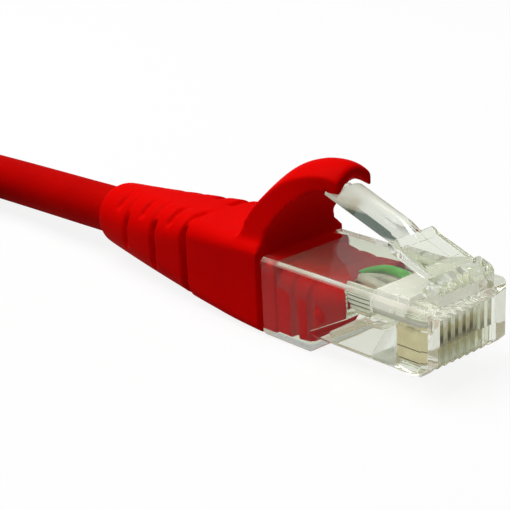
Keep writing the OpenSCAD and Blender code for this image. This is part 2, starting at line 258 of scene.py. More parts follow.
# Fine grain and slow clouding that every moulded surface of the cable has
grain, given, out = effect(
    "moulded_grain",
    {"Grain per metre": ("Float", 4000.0), "Cloud per metre": ("Float", 120.0),
     "Light": ("Color", (1, 1, 1, 1)), "Dark": ("Color", (0.5, 0.5, 0.5, 1)),
     "Smooth": ("Float", 0.3), "Rough": ("Float", 0.5)},
    {"Color": "Color", "Roughness": "Float", "Height": "Float"})
cloud = noise_on(grain, given["Cloud per metre"], 3.0)
specks = noise_on(grain, given["Grain per metre"], 4.0)
noise_spread = (0.3, 0.7)           # where nearly all of a noise's values lie
tone = ramp(grain, cloud, *noise_spread)
grain.links.new(mixed(grain, tone, given["Dark"], given["Light"]), out["Color"])
grain.links.new(ramp(grain, specks, *noise_spread, given["Smooth"], given["Rough"]), out["Roughness"])
grain.links.new(specks, out["Height"])


def colour(*rgb):
    return (*rgb, 1.0)


def moulded(name, light, dark, smooth, rough, grain_size=0.25, cloud_size=8.0, bump=0.01, **plain):
    """Moulded plastic: sizes in mm, bump is the depth of the grain in mm."""
    made = bpy.data.materials.new(name)
    made.use_nodes = True
    tree = made.node_tree
    shader = tree.nodes["Principled BSDF"]
    effect_node = node(tree, "ShaderNodeGroup", node_tree=grain)
    for key, value in {"Grain per metre": 1000 / grain_size, "Cloud per metre": 1000 / cloud_size,
                       "Light": light, "Dark": dark, "Smooth": smooth, "Rough": rough}.items():
        effect_node.inputs[key].default_value = value
    relief = node(tree, "ShaderNodeBump", {
        "Height": effect_node.outputs["Height"], "Distance": bump * MM, "Strength": 1.0})
    tree.links.new(effect_node.outputs["Color"], shader.inputs["Base Color"])
    tree.links.new(effect_node.outputs["Roughness"], shader.inputs["Roughness"])
    tree.links.new(relief.outputs["Normal"], shader.inputs["Normal"])
    for key, value in plain.items():
        shader.inputs[key.replace("_", " ")].default_value = value
    return made


jacket = moulded("cord_jacket", colour(0.59, 0.002, 0.001), colour(0.51, 0.0015, 0.001),
                 0.38, 0.55, grain_size=0.18, cloud_size=10, bump=0.006, Specular_IOR_Level=0.005)
line.materials.append(jacket)
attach(cord, "cable")
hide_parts("cord_tube_a", "cord_tube_b", "cord_coil")


# ---- Boot and hood ----
# One moulding of soft red vinyl on each end: a strain relief with flex slots around the cord,
# and a springy hood that arches over the latch so that it can't snag.

# Each plug's place: the middle of its front face, at the underside of its nose
ends = {"a": (25.95, 0.0, 1.7), "b": (15.0, -73.4, 1.7)}
plug_l = 21.5
boot_top = 7.7
cord_axis = 3.1
# Sections of the boot: distance behind the plug, half width, top, underside, corner radius
boot_sections = [
    (0, 6.1, 7.7, -1.7, 1.1), (4.1, 6.0, 7.6, -1.6, 1.3), (7.7, 5.85, 7.45, -1.4, 1.5),
    (11.5, 5.6, 7.4, -1.25, 1.8), (13.5, 5.5, 7.45, -1.35, 2.6), (19.3, 5.0, 7.3, -1.3, 3.5),
    (24.5, 4.4, 7.1, -1.1, 3.9), (29.0, 3.75, 6.85, -0.65, 3.65), (29.9, 3.55, 6.65, -0.45, 3.45),
    (30.4, 3.2, 6.3, -0.1, 3.1)]
# Grooves: distance behind the plug, width, depth, and the arc that they run over, counted from
# the middle of the side (-90 is the middle of the underside, 90 the middle of the top)
grooves = [
    (12.1, 1.0, 2.3, -80, 32), (12.3, 0.9, 0.5, 22, 66),
    (18.1, 0.85, 1.7, -24, 28), (18.3, 0.8, 0.3, 20, 58),
    (23.8, 0.75, 1.3, -16, 24), (24.0, 0.8, 0.25, 18, 52),
    (15.3, 0.9, 0.5, 34, 60), (20.9, 0.9, 0.45, 34, 57), (26.0, 0.85, 0.4, 34, 54)]
hood_foot_w, hood_tip_w, hood_crown = 10.6, 4.6, 1.2
# Sections of the hood: outer x and z, inner x and z, narrowing, share of the crown
hood_sections = [
    (-4.1, -0.8, 0.0, -0.8, 0, 0.3), (-3.1, 1.3, 0.2, 0.9, 0.13, 0.5),
    (-2.5, 2.3, 0.6, 1.7, 0.2, 0.65), (-1.8, 3.3, 1.1, 2.4, 0.27, 0.75),
    (0, 5.1, 2.3, 3.8, 0.43, 0.9), (1.9, 6.4, 3.6, 4.9, 0.6, 1), (4, 7.1, 5, 5.6, 0.77, 1),
    (6, 7.3, 6.3, 5.8, 0.9, 0.95), (7.3, 7.1, 7.3, 5.72, 0.97, 0.95), (7.75, 6.8, 7.75, 5.7, 1, 0.85)]
latch_slope = math.radians(19.3)          # how steeply the latch under the hood rises to the back
# Notch for the latch's lever in the hood's front: radius, top, and its start and end along the lever
notch_r, notch_top, notch_run = 1.9, 14.69, (-2.4, 3)
moulding_voxel = 0.2


def between(sections, at):
    """A row of values between sections, on a smooth curve through them; at counts sections."""
    i = min(int(at), len(sections) - 2)
    t = at - i
    p = [sections[min(max(k, 0), len(sections) - 1)] for k in (i - 1, i, i + 1, i + 2)]
    return [0.5 * (2 * b + (c - a) * t + (2 * a - 5 * b + 4 * c - d) * t * t
                   + (3 * b - a - 3 * c + d) * t ** 3) for a, b, c, d in zip(*p)]


def rounded_ring(half, top, low, corner, steps=9, sides=9, below=None):
    """A rounded rectangle across the boot, as (y, z) points that turn from +Y to +Z; below is
    the radius of the lower corners where it isn't the same."""
    below = corner if below is None else below
    quarters = [(1, 1, corner), (-1, 1, corner), (-1, -1, below), (1, -1, below)]
    spots = [(sy * (half - r), top - r if sz > 0 else low + r, r) for sy, sz, r in quarters]
    ring = []
    for k, (y, z, r) in enumerate(spots):
        for s in range(steps + 1):
            a = math.radians(90 * (k + s / steps))
            ring.append((y + r * math.cos(a), z + r * math.sin(a)))
        a, (y, z, r), here = math.radians(90 * (k + 1)), spots[(k + 1) % 4], ring[-1]
        goal = (y + r * math.cos(a), z + r * math.sin(a))
        for s in range(1, sides):
            ring.append(tuple(h + (g - h) * s / sides for h, g in zip(here, goal)))
    return ring


def skin(bm, rings):
    """Closes a tube over rows of points, with flat ends."""
    rows = [[bm.verts.new(p) for p in ring] for ring in rings]
    for low, high in zip(rows, rows[1:]):
        for i in range(len(low)):
            j = (i + 1) % len(low)
            bm.faces.new((low[i], low[j], high[j], high[i]))
    bm.faces.new(rows[0][::-1])
    bm.faces.new(rows[-1])
    return rows


def made(bm, name):
    """Turns drawn faces into an object, in mm; it is moved to its end later."""
    bmesh.ops.recalc_face_normals(bm, faces=bm.faces)
    mesh = bpy.data.meshes.new(name)
    bm.to_mesh(mesh)
    bm.free()
    piece = bpy.data.objects.new(name, mesh)
    bpy.context.collection.objects.link(piece)
    return piece


def worked(piece, kind, **settings):
    """Applies a modifier to the piece's mesh."""
    step = piece.modifiers.new("step", kind)
    for key, value in settings.items():
        setattr(step, key, value)
    bpy.context.view_layer.update()
    shaped = bpy.data.meshes.new_from_object(
        piece.evaluated_get(bpy.context.evaluated_depsgraph_get()))
    piece.modifiers.clear()
    old, piece.data = piece.data, shaped
    bpy.data.meshes.remove(old)
    return piece


def combined(piece, other, operation="DIFFERENCE"):
    worked(piece, "BOOLEAN", object=other, operation=operation, solver="EXACT",
           use_self=False)
    bpy.data.objects.remove(other)
    return piece


def fitted(piece, end, name, paint, smooth_angle=40):
    """A copy of a piece drawn in mm, at its end of the cord, in metres."""
    mesh = piece.data.copy()
    mesh.name = name
    mesh.transform(Matrix.Scale(MM, 4) @ Matrix.Translation(Vector(ends[end])))
    mesh.materials.clear()
    mesh.materials.append(paint)
    mesh.shade_smooth()
    mesh.set_sharp_from_angle(angle=math.radians(smooth_angle))
    copy = bpy.data.objects.new(name, mesh)
    bpy.context.collection.objects.link(copy)
    return copy


def smoothstep(low, high, value):
    t = min(max((value - low) / (high - low), 0.0), 1.0)
    return t * t * (3 - 2 * t)


wall_steepness = 2.2
groove_lean = 0.9         # grooves are cut more sideways than straight at the cord's middle
run_in, run_out = (-6, 2), (-3, 8)        # degrees over which a groove starts and fades


def groove_depth(back, y, z):
    arc = math.degrees(math.atan2(z - cord_axis, abs(y)))
    deepest = 0.0
    for middle, width, depth, start, stop in grooves:
        across = abs(back - middle) / (width / 2)
        if across < 1:
            run = smoothstep(start + run_in[0], start + run_in[1], arc)
            run *= 1 - smoothstep(stop + run_out[0], stop + run_out[1], arc)
            deepest = max(deepest, depth * run * min(1.0, wall_steepness * (1 - across)))
    return deepest


boot_slices, hood_slices, hood_steps = 170, 40, 8
bm = bmesh.new()
rings = []
for k in range(boot_slices + 1):
    t = k / boot_slices * (len(boot_sections) - 1)
    back, half, top, low, corner = between(boot_sections, t)
    ring = []
    for y, z in rounded_ring(half, top, low, corner):
        out_y, out_z = Vector((y, (z - cord_axis) * groove_lean)).normalized()
        deep = groove_depth(back, y, z)
        ring.append((-plug_l - back, y - out_y * deep, z - out_z * deep))
    rings.append(ring)
skin(bm, rings)
boot = made(bm, "boot")
bm = bmesh.new()
rings = []
for k in range(hood_slices + 1):
    t = k / hood_slices * (len(hood_sections) - 1)
    ox, oz, ix, iz, narrowing, share = between(hood_sections, t)
    half = (hood_foot_w + (hood_tip_w - hood_foot_w) * narrowing) / 2
    out_dir = Vector((ox - ix, oz - iz)).normalized()
    ring = []
    for (x, z), bulge, order in (((ox, oz), 1.0, 1), ((ix, iz), 0.7, -1)):
        for s in range(-hood_steps, hood_steps + 1):
            u = order * s / hood_steps
            rise = hood_crown * share * (1 - u * u) * bulge
            ring.append((x - plug_l + out_dir[0] * rise, u * half, z + boot_top + out_dir[1] * rise))
    rings.append(ring)
skin(bm, rings)
hood = made(bm, "hood")
bm = bmesh.new()
arch = [(notch_r * math.cos(a), notch_r * math.sin(a)) for a in
        (math.radians(10 * k) for k in range(19))] + [(-notch_r, -2 * notch_r), (notch_r, -2 * notch_r)]
tip = Vector((hood_sections[-1][0] - plug_l, 0, notch_top - notch_r))
skin(bm, [[tip + Vector((u * math.cos(latch_slope) + w * math.sin(latch_slope), y,
                         -u * math.sin(latch_slope) + w * math.cos(latch_slope))) for y, w in arch]
          for u in notch_run])
combined(hood, made(bm, "notch"))
combined(boot, hood, "UNION")
worked(boot, "REMESH", mode="VOXEL", voxel_size=moulding_voxel)
worked(boot, "SMOOTH", factor=0.5, iterations=3)
# The hood's foot runs softly into the boot: height and half height, start, end and passes
foot_z, foot_half, foot_back, foot_front, foot_passes = boot_top + 0.3, 1.1, -27.5, -20.5, 14
bm = bmesh.new()
bm.from_mesh(boot.data)
foot = [v for v in bm.verts
        if abs(v.co.z - foot_z) < foot_half and foot_back < v.co.x < foot_front]
for _ in range(foot_passes):
    bmesh.ops.smooth_vert(bm, verts=foot, factor=0.5, use_axis_x=True, use_axis_y=True,
                          use_axis_z=True)
bm.to_mesh(boot.data)
bm.free()
red_vinyl = moulded("red_vinyl", colour(0.86, 0.002, 0.001), colour(0.78, 0.0015, 0.001),
                    0.36, 0.52, grain_size=0.16, cloud_size=9, bump=0.005, Specular_IOR_Level=0.005)


# Painted light and shade on a finish, such as a painted haze, or painted shade along a fold line or in
# a groove, shift its colour and its glow
black = colour(0, 0, 0)
marks, given, out = effect(
    "marks",
    {"Color": ("Color", black), "Mark": ("Float", 0.0), "Share": ("Float", 1.0),
     "Mark color": ("Color", black), "Glow": ("Color", black), "Mark glow": ("Color", black)},
    {"Color": "Color", "Glow": "Color"})
share = math_node(marks, "MULTIPLY", given["Mark"], given["Share"])
marks.links.new(mixed(marks, share, given["Color"], given["Mark color"]), out["Color"])
marks.links.new(mixed(marks, given["Mark"], given["Glow"], given["Mark glow"]), out["Glow"])


def marked(paint, mark, mark_colour=black, share=1.0, glow=black, mark_glow=black):
    """Paints light or shade onto a material where mark, an output socket, is 1; share is how far the
    colour shifts.
    """
    tree = paint.node_tree
    shader = tree.nodes["Principled BSDF"]
    marking = node(tree, "ShaderNodeGroup", node_tree=marks)
    for key, value in {"Share": share, "Mark color": mark_colour, "Glow": glow,
                       "Mark glow": mark_glow}.items():
        marking.inputs[key].default_value = value
    tree.links.new(shader.inputs["Base Color"].links[0].from_socket, marking.inputs["Color"])
    tree.links.new(mark, marking.inputs["Mark"])
    tree.links.new(marking.outputs["Color"], shader.inputs["Base Color"])
    tree.links.new(marking.outputs["Glow"], shader.inputs["Emission Color"])


# Painted haze: a pale colour and glow that stand in for light mirrored and scattered in the clear
# plastic
painted_haze_colour, painted_haze_glow = colour(0.80, 0.76, 0.66), colour(0.98, 0.95, 0.83)
painted_haze_strength = 0.27
walls_seen_through = 2.5


def painted_haze(paint, share):
    """Painted haze and reflection: washes a colour out to a pale colour and glow where the clear
    plastic's inner faces mirror it, or where more than two of its walls lie in front of it."""
    tree = paint.node_tree
    path = node(tree, "ShaderNodeLightPath").outputs
    mirrored = math_node(tree, "MULTIPLY", math_node(tree, "GREATER_THAN", path["Glossy Depth"], 0.5),
                         math_node(tree, "GREATER_THAN", path["Transmission Depth"], 0.5))
    deep = math_node(tree, "GREATER_THAN", path["Transmission Depth"], walls_seen_through)
    marked(paint, math_node(tree, "MAXIMUM", mirrored, deep), painted_haze_colour, share,
           mark_glow=painted_haze_glow)
    tree.nodes["Principled BSDF"].inputs["Emission Strength"].default_value = painted_haze_strength


painted_haze_on_vinyl, painted_haze_on_wires = 0.85, 0.7
painted_haze(red_vinyl, painted_haze_on_vinyl)
for end in ends:
    piece = fitted(boot, end, f"boot_and_hood_{end}", red_vinyl, 60)
    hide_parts(f"boot_{end}", f"hood_{end}")
    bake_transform(piece)
bpy.data.objects.remove(boot)


# ---- Clear housing and latch ----
# One injection moulding of clear polycarbonate. The housing is open at the back for the cord,
# with a wire chamber, a pocket in the underside where the tool crimps, and eight contact slots.
# The latch grows out of a block at the front face and springs up and back.

plug_half, nose_h, heel_drop = 5.85, 6.6, 1.7
heel_front = -14.3
chamber_half, chamber_top, chamber_floor = 4.95, 5.8, -1.1
contact_pitch, contact_t = 1.02, 0.35
contact_back, guide_low, slot_top = -4.6, 3.88, 5.18
guide_half, guide_top, guide_step = 4.0, 6.1, -3.5
guide_front, guide_back, comb_back = -1.35, -7.4, -11.0
bar_top = 4.97
root_l, root_h, root_half = 1.85, 1.6, 3.8
latch_w, latch_t, latch_l = 3.25, 0.85, 15.0
rib_h, tail_l, tail_t = 1.05, 1.7, 0.5
shoulder_w, shoulder_l = 6.1, 5.3
collar_room = (-19.6, 5.35, 6.1)          # wider room at the back: its front, half width and top
pocket_half = 4.35
gap = 0.05                # room around the guide and the contacts
past = 1                  # how far a cut reaches past the part
latch_top = nose_h + root_h + root_l * math.tan(latch_slope)
rib_end = tail_l - latch_l
rib_r = (latch_w ** 2 / 4 + rib_h ** 2) / (2 * rib_h)


def prism(bm, outline, half, side=None):
    """A side outline in X and Z, drawn across the plug."""
    low, high = (-half, half) if side is None else side
    skin(bm, [[(x, y, z) for x, z in outline] for y in (low, high)])


def block(bm, low, high):
    (x0, y0, z0), (x1, y1, z1) = low, high
    prism(bm, [(x0, z0), (x1, z0), (x1, z1), (x0, z1)], None, side=(y0, y1))


def eased(piece, width, segments=3, above=50):
    """Rounds the edges of a piece that are sharper than an angle in degrees."""
    return worked(piece, "BEVEL", width=width, segments=segments, limit_method="ANGLE",
                  angle_limit=math.radians(above))


def way_y(i):
    return (i - 4.5) * contact_pitch


def on_latch(u, y, w):
    """From the latch's own slope to the plug: u runs along it, w is square to it."""
    return (-root_l + u * math.cos(latch_slope) + w * math.sin(latch_slope), y,
            latch_top - u * math.sin(latch_slope) + w * math.cos(latch_slope))


bm = bmesh.new()
prism(bm, [(-plug_l, -heel_drop), (heel_front - 0.5, -heel_drop), (heel_front, -1.2),
           (heel_front + 0.1, 0), (-0.9, 0), (0, 0.9), (0, nose_h), (-plug_l, nose_h)], plug_half)
housing = eased(eased(made(bm, "housing"), 0.42, 1), 0.07, 2, 30)
bm = bmesh.new()
prism(bm, [(-root_l - 0.28, nose_h - 0.5), (0, nose_h - 0.5), (0, nose_h + root_h - 0.35),
           (-0.35, nose_h + root_h + 0.35 * math.tan(latch_slope)), (-root_l, latch_top),
           on_latch(0, 0, -latch_t)[::2]], root_half)
root = eased(made(bm, "root"), 0.2, 3, 25)
combined(housing, root, "UNION")
bm = bmesh.new()
prism(bm, [on_latch(u, 0, w)[::2] for u, w in
           ((0.5, 0), (0.5, -latch_t), (0.6 - shoulder_l, 0.1 - latch_t), (-shoulder_l, -0.25),
            (-shoulder_l, 0.18), (0.45 - shoulder_l, 0.22), (0.9 - shoulder_l, 0))], shoulder_w / 2)
shoulders = eased(made(bm, "shoulders"), 0.14, 3, 25)
bm = bmesh.new()
rings = []
half = latch_w / 2
for u, inset in ((-latch_l, 0.14), (0.12 - latch_l, 0), (rib_end - 0.02, 0)):
    rings.append([on_latch(u, y, w) for y, w in (
        (-half + inset, -latch_t + inset), (half - inset, -latch_t + inset),
        (half - inset, tail_t - latch_t - inset), (-half + inset, tail_t - latch_t - inset))])
skin(bm, rings)
tail = made(bm, "tail")
# The rib rises at its back end, where its rows are closer, and fades out at the shoulders
rib_rows, rib_arc = 24, 20
rib_crown, crown_loss = 1.08, 0.15
bm = bmesh.new()
rings = []
for k in range(rib_rows):
    u = rib_end - 0.12 + (k / (rib_rows - 1)) ** 1.5 * (-1.08 - rib_end)
    end_rise = math.sqrt(smoothstep(rib_end - 0.14, rib_end + 0.3, u))
    fade = end_rise * (1 - smoothstep(-shoulder_l - 0.55, -shoulder_l, u))
    side = (tail_t - latch_t - 0.05) * (1 - end_rise)
    crown = rib_crown - crown_loss * smoothstep(rib_end, -shoulder_l, u)
    ring = [(-half, -latch_t), (half, -latch_t), (half, side)]
    for step in range(1, rib_arc):
        y = half * (1 - 2 * step / rib_arc)
        ring.append((y, side + (math.sqrt(rib_r ** 2 - y * y) + rib_h - rib_r) * fade * crown))
    ring.append((-half, side))
    rings.append([on_latch(u, y, w) for y, w in ring])
skin(bm, rings)
lever = made(bm, "lever")
combined(lever, tail, "UNION")
combined(shoulders, lever, "UNION")
bm = bmesh.new()
skin(bm, [[on_latch(u, y, w) for y, w in ((-2.2, -0.13), (2.2, -0.13), (2.6, 0.4), (-2.6, 0.4))]
          for u in (-4.1, -1.0)])
combined(shoulders, made(bm, "recess"))
combined(housing, shoulders, "UNION")
# Small marks of the mould's gates in the root: two sides and the height of the floor of each
for y0, y1, low in ((-3.3, -2.3, 7.75), (-1.7, -0.8, 7.9), (0.9, 1.9, 7.8)):
    bm = bmesh.new()
    prism(bm, [(-0.45, 8.9), (-0.45, low + 0.35), (-0.2, low), (0.2, low), (0.2, 8.9)], None,
          side=(y0, y1))
    combined(housing, made(bm, "gate_mark"))
bm = bmesh.new()
prism(bm, [(-plug_l - past, chamber_floor), (-15.3, chamber_floor), (-15.3, 0.2), (-10.1, 2.9),
           (-10.1, chamber_top), (-plug_l - past, chamber_top)], chamber_half)
combined(housing, eased(made(bm, "chamber"), 0.08, 2, 25))
bm = bmesh.new()
front, half, top = collar_room
block(bm, (-plug_l - past, -half, chamber_floor), (front, half, top))
combined(housing, eased(made(bm, "collar_room"), 0.5, 4, 50))
# Room for the guide, in three steps: its end behind and in front, its half width and its top
for back, front, half, top in ((comb_back - 0.3, guide_back + 0.1, 4.62, chamber_top),
                               (guide_back - gap, guide_step, guide_half, guide_top),
                               (guide_step - 0.5, guide_front, guide_half, bar_top)):
    bm = bmesh.new()
    block(bm, (back, -half, guide_low - gap), (front, half, top))
    combined(housing, made(bm, "guide_room"))
bm = bmesh.new()
prism(bm, [(-12.9, -past), (-7.6, -past), (-7.4, 0.1), (-5.5, 3.1), (-9.0, 3.1), (-9.8, 2.4),
           (-12.9, 0.8)], pocket_half)
combined(housing, eased(made(bm, "pocket"), 0.25, 3, 25))
wall_h, wall_slant = 2.6, 0.9             # rounded front of the walls between the slots
for i in range(1, 9):
    bm = bmesh.new()
    side = contact_t / 2 + gap
    block(bm, (contact_back - gap, way_y(i) - side, -past), (past, way_y(i) + side, slot_top))
    combined(housing, made(bm, "slot"))
    # Each wall is rounded: how far to the side of the slot's middle, and how deep the cut is there
    bm = bmesh.new()
    skin(bm, [[(x, way_y(i) + across * contact_pitch, z) for x, z in (
        (past, -past), (past, wall_h), (-deep, wall_h), (-deep, wall_slant), (-wall_slant, deep),
        (contact_back, deep), (contact_back, -past))] for across, deep in (
            (-0.49, -0.02), (-0.38, 0.07), (-0.25, 0.3), (0.25, 0.3), (0.38, 0.07), (0.49, -0.02))])
    combined(housing, made(bm, "wall_round"))
polycarbonate = moulded(
    "clear_polycarbonate", colour(0.87, 0.895, 0.80), colour(0.83, 0.855, 0.765), 0.02, 0.06,
    grain_size=1.2, cloud_size=6, bump=0.004, Transmission_Weight=0.995, IOR=1.25)
tree = polycarbonate.node_tree
shader = tree.nodes["Principled BSDF"]
finish = shader.inputs["Base Color"].links[0].from_socket
rough = shader.inputs["Roughness"].links[0].from_socket
at = axes(tree)
surface = node(tree, "ShaderNodeNewGeometry").outputs
square_on = 0.9           # how squarely a face must look sideways to count as a side
on_side = math_node(tree, "GREATER_THAN",
                    math_node(tree, "ABSOLUTE", axes(tree, surface["Normal"])["Y"]), square_on)
# The sides of the lever are matt; painted shade darkens them, as they look dark seen edge on. Heights
# are above the table
lever_low, lever_high, painted_lever_shade = (11.7, 12.2), (14.5, 13.8), colour(0.04, 0.06, 0.05)
lower = ramp(tree, at["Z"], *(z * MM for z in lever_low))
upper = ramp(tree, at["Z"], *(z * MM for z in lever_high))
outside = math_node(tree, "SUBTRACT", 1.0, surface["Backfacing"])
on_lever = math_node(tree, "MULTIPLY", outside, math_node(tree, "MULTIPLY", lower, upper))
painted_shade_on_lever_sides = math_node(tree, "MULTIPLY", on_side, on_lever)
tree.links.new(mixed(tree, painted_shade_on_lever_sides, finish, painted_lever_shade), shader.inputs["Base Color"])
# and its tip is worn dull
worn_z, worn_rough = (13.4, 14.3), 0.4
worn = ramp(tree, at["Z"], *(z * MM for z in worn_z), 0.0, worn_rough)
rough = math_node(tree, "ADD", worn, rough)
# The slots' own walls are matt from the tool
slots_half, slots_rough = 3.6, 0.3
rows = [math_node(tree, "COMPARE", at["Y"], ends[end][1] * MM, slots_half * MM) for end in ends]
low_down = math_node(tree, "LESS_THAN", at["Z"], (ends["a"][2] + slot_top) * MM)
in_slots = math_node(tree, "MULTIPLY", math_node(tree, "MULTIPLY", on_side, low_down),
                     math_node(tree, "MAXIMUM", *rows))
rough = math_node(tree, "MULTIPLY_ADD", in_slots, slots_rough, rough)
# The long bevels on top are frosted, and a painted glow on them stands in for the light they catch
bevel_slant, bevel_z, bevel_reach = (0.9, 0.98), nose_h - 0.2, 0.35
frost_rough, painted_bevel_glow, painted_bevel_glow_strength = 0.35, colour(1.0, 0.85, 0.72), 0.12
slant = node(tree, "ShaderNodeVectorMath", {
    0: node(tree, "ShaderNodeVectorMath", {0: surface["Normal"]}, operation="ABSOLUTE").outputs[0],
    1: (0, math.sqrt(0.5), math.sqrt(0.5))}, operation="DOT_PRODUCT").outputs["Value"]
near_top = math_node(tree, "COMPARE", at["Z"], (ends["a"][2] + bevel_z) * MM, bevel_reach * MM)
frost_and_painted_glow = math_node(tree, "MULTIPLY", ramp(tree, slant, *bevel_slant), near_top)
rough = math_node(tree, "MULTIPLY_ADD", frost_and_painted_glow, frost_rough, rough)
tree.links.new(rough, shader.inputs["Roughness"])
# Painted highlight: the frosted bevels glow warm white
tree.links.new(mixed(tree, frost_and_painted_glow, black, painted_bevel_glow), shader.inputs["Emission Color"])
shader.inputs["Emission Strength"].default_value = painted_bevel_glow_strength
for end in ends:
    piece = fitted(housing, end, f"housing_and_latch_{end}", polycarbonate, 35)
    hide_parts(f"plug_housing_{end}", f"latch_{end}")
    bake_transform(piece)
bpy.data.objects.remove(housing)


# ---- Wire guide ----
# A small milky bar that lines the eight wires up over the contacts: a plate over the wires with
# a bore for each below, a slit behind its front corner, and a thin comb behind.

wire_z, wire_d = 4.5, 0.94
wet = 0.02                # how far the guide presses into the housing
plate_low, bar_half, bar_set_in = 4.6, 3.6, 0.3
bore_room = 0.03          # gap around each wire in its bore
slit_x, slit_deep = (-4.82, -4.62), 0.35
bm = bmesh.new()
block(bm, (guide_back, -guide_half - wet, plate_low),
      (guide_step + wet, guide_half + wet, guide_top + wet))
guide = eased(made(bm, "guide"), 0.15, 3)
bm = bmesh.new()
block(bm, (guide_back + bar_set_in, -bar_half, guide_low),
      (guide_front + wet, bar_half, bar_top + wet))
combined(guide, made(bm, "bar"), "UNION")
for side in (-1, 1):
    bm = bmesh.new()
    block(bm, (slit_x[0], side * guide_half - slit_deep, guide_low - past),
          (slit_x[1], side * guide_half + slit_deep, guide_top + past))
    combined(guide, made(bm, "slit"))
for i in range(1, 9):
    bm = bmesh.new()
    r = wire_d / 2 + bore_room
    skin(bm, [[(x, way_y(i) + r * math.cos(math.radians(a)), wire_z + r * math.sin(math.radians(a)))
               for a in range(0, 360, 20)] for x in (guide_back - 4, guide_front - 0.07)])
    combined(guide, made(bm, "bore"))
# The milky plastic has a painted glow, standing in for the light it scatters inside
milky_plastic = moulded(
    "milky_plastic", colour(0.97, 0.96, 0.93), colour(0.92, 0.92, 0.87), 0.15, 0.3,
    grain_size=0.5, cloud_size=3, bump=0.004, Transmission_Weight=0.15, IOR=1.35,
    Emission_Color=colour(1.0, 0.98, 0.92), Emission_Strength=0.2)
for end in ends:
    piece = fitted(guide, end, f"guide_{end}", milky_plastic, 35)
    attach(piece, "cable")
    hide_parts(f"wire_guide_{end}")
bpy.data.objects.remove(guide)
# The comb: teeth that stand out to both sides of a thin web
teeth, tooth_pitch, tooth_h, tooth_half = 5, 0.42, 0.34, 0.1
web_half, web_low, web_top = 0.06, chamber_top - 2.1, chamber_top - 0.1
bm = bmesh.new()
for side in (-1, 1):
    y = side * (guide_half - web_half)
    for k in range(teeth):
        z = chamber_top - gap - tooth_pitch * k
        block(bm, (comb_back, y - tooth_half, z - tooth_h), (guide_back - gap, y + tooth_half, z))
    block(bm, (comb_back + 0.2, y - web_half, web_low), (guide_back - gap, y + web_half, web_top))
comb = made(bm, "comb")
comb_plastic = moulded(
    "comb_plastic", colour(0.93, 0.93, 0.87), colour(0.86, 0.87, 0.80), 0.3, 0.5, grain_size=0.4,
    cloud_size=2, bump=0.004, Emission_Strength=0.15)
# Painted shade darkens the grooves between its teeth, and a painted glow lights the teeth. At scale 1 a
# wave repeats every 2 pi / 20 units
painted_groove_shade_edge = (0.1, 0.35)
tree = comb_plastic.node_tree
wave = node(tree, "ShaderNodeTexWave", {
    "Vector": node(tree, "ShaderNodeTexCoord").outputs["Object"],
    "Scale": 2 * math.pi / (20 * tooth_pitch * MM), "Distortion": 0.6},
    bands_direction="Z").outputs["Fac"]
marked(comb_plastic, ramp(tree, wave, *painted_groove_shade_edge, 1.0, 0.0), colour(0.12, 0.13, 0.07),
       glow=colour(1.0, 0.98, 0.90))
for end in ends:
    piece = fitted(comb, end, f"comb_{end}", comb_plastic, 35)
    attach(piece, "cable")
bpy.data.objects.remove(comb)


# ---- Inner mould ----
# Red vinyl that was moulded around the jacket's end inside the housing. Grooves in its sides
# lock it in, and it narrows to an oval mouth, cut back on top, where the wires come out.

mould_front, mouth_cut, mouth_root = -10.3, 2.5, -14.0
cut_low, cut_high, cut_half = 3.4, 5.6, 4.7        # heights and half width of the cut on top
lower_r = 0.35                                     # radius of the two corners below
# Oval mouth: half width, top, underside and corner radius
mouth_oval = (3.95, 5.0, 3.3, 0.8)
knob_r, knob_centre = 0.85, (-13.6, -4.5, 2.3)


def mouth_x(y, z):
    """Where the mouth's lip is: the sides reach furthest, the top is cut back."""
    return mould_front - mouth_cut * smoothstep(cut_low, cut_high, z) * max(0, 1 - (y / cut_half) ** 2)


bm = bmesh.new()
rings = []
# Sections: x, half width, top, underside, corner radius above
for x, half, top, low, corner in (
        (-plug_l, 5.37, 6.12, -1.12, 1.2), (-19.9, 5.37, 6.12, -1.12, 1.2),
        (-19.62, 5.25, 5.95, -1.12, 1.2), (-19.5, 4.97, 5.3, -1.12, 1.6),
        (-17.7, 4.97, 5.25, -1.12, 2.0), (-17.4, 4.5, 5.2, -1.0, 2.0),
        (-16.8, 4.5, 5.2, -1.0, 2.0), (-16.5, 4.97, 5.25, -1.0, 2.0),
        (-15.4, 4.97, 5.2, -0.9, 2.0), (-15.1, 4.6, 5.15, -0.6, 2.0), (-14.7, 4.6, 5.15, 0.0, 2.0),
        (-14.4, 4.9, 5.2, 0.64, 2.0), (mouth_root, 4.97, 5.25, 0.85, 2.0)):
    rings.append([(x, y, z) for y, z in rounded_ring(half, top, low, corner, 6, 6, lower_r)])
for t, half, top, low, corner in ((0.4, 4.9, 5.35, 1.62, 1.9), (0.75, 4.8, 5.4, 2.3, 1.8),
                                  (0.94, 4.7, 5.4, 2.66, 1.6), (1.0, 4.6, 5.3, 2.76, 1.5)):
    rings.append([(mouth_root + t * (mouth_x(y, z) - mouth_root), y, z)
                  for y, z in rounded_ring(half, top, low, corner, 6, 6, lower_r)])
skin(bm, rings)
mould = made(bm, "mould")
bm = bmesh.new()
skin(bm, [[(x, y, z) for y, z in rounded_ring(*mouth_oval, 6, 4)] for x in (-15, -9)])
combined(mould, made(bm, "mouth"))
bm = bmesh.new()
bmesh.ops.create_uvsphere(bm, u_segments=20, v_segments=12, radius=knob_r,
                          matrix=Matrix.Translation(knob_centre))
combined(mould, made(bm, "knob"), "UNION")
